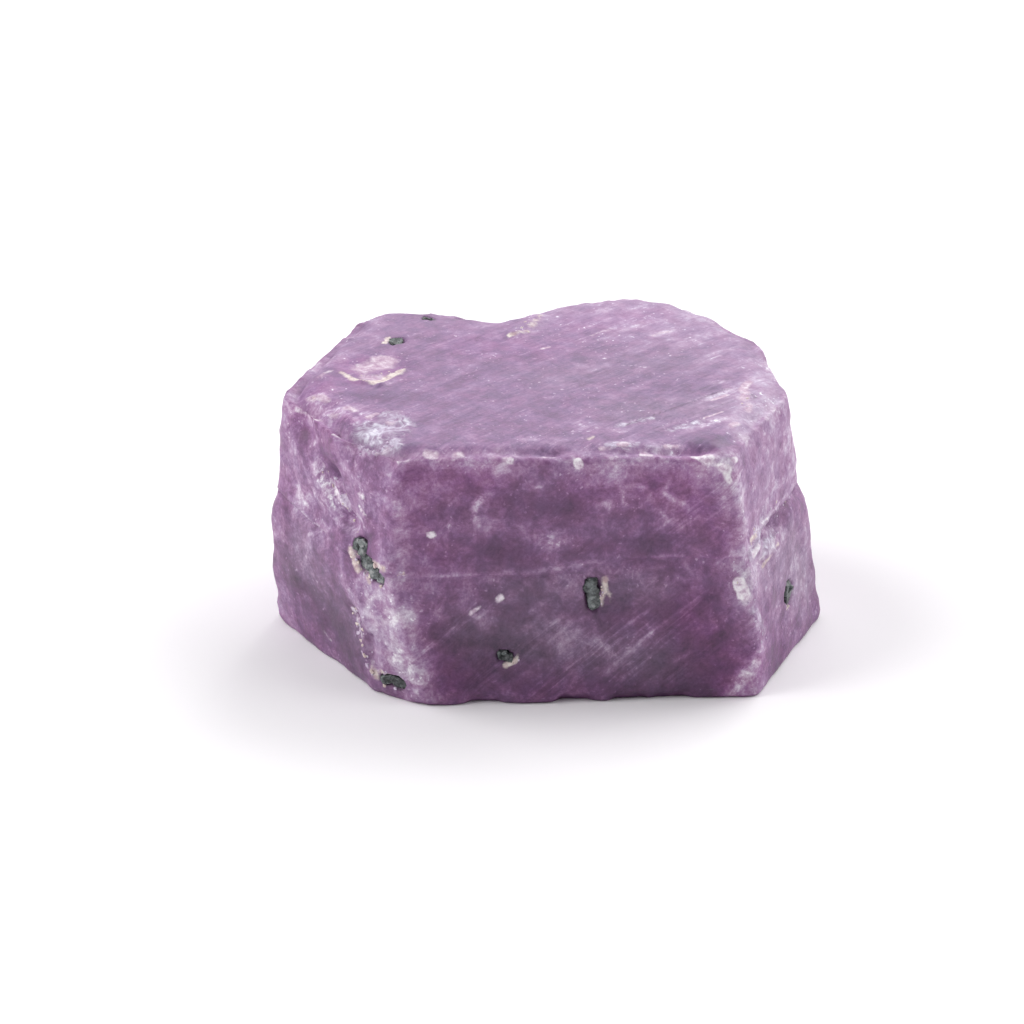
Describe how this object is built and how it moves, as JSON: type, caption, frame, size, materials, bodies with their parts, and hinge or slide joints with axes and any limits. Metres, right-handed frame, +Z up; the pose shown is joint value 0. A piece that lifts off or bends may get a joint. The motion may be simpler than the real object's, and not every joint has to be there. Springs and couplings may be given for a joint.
{
  "type": "raw ruby crystal",
  "caption": "Stubby hexagonal raw ruby crystal with a flat sawn top, a seam round its middle and small pits holding dark grains.",
  "frame": {"origin": "middle of the crystal's bounding box, on the plane it rests on", "axes": "+X to the right along the crystal's length, +Y to the back, where the bite is, and +Z up through the flat top"},
  "size_m": [0.0267, 0.02, 0.013],
  "materials": {
    "ruby": "satin"
  },
  "bodies": {
    "root": {"ruby_crystal": "ruby"}
  },
  "joints": []
}
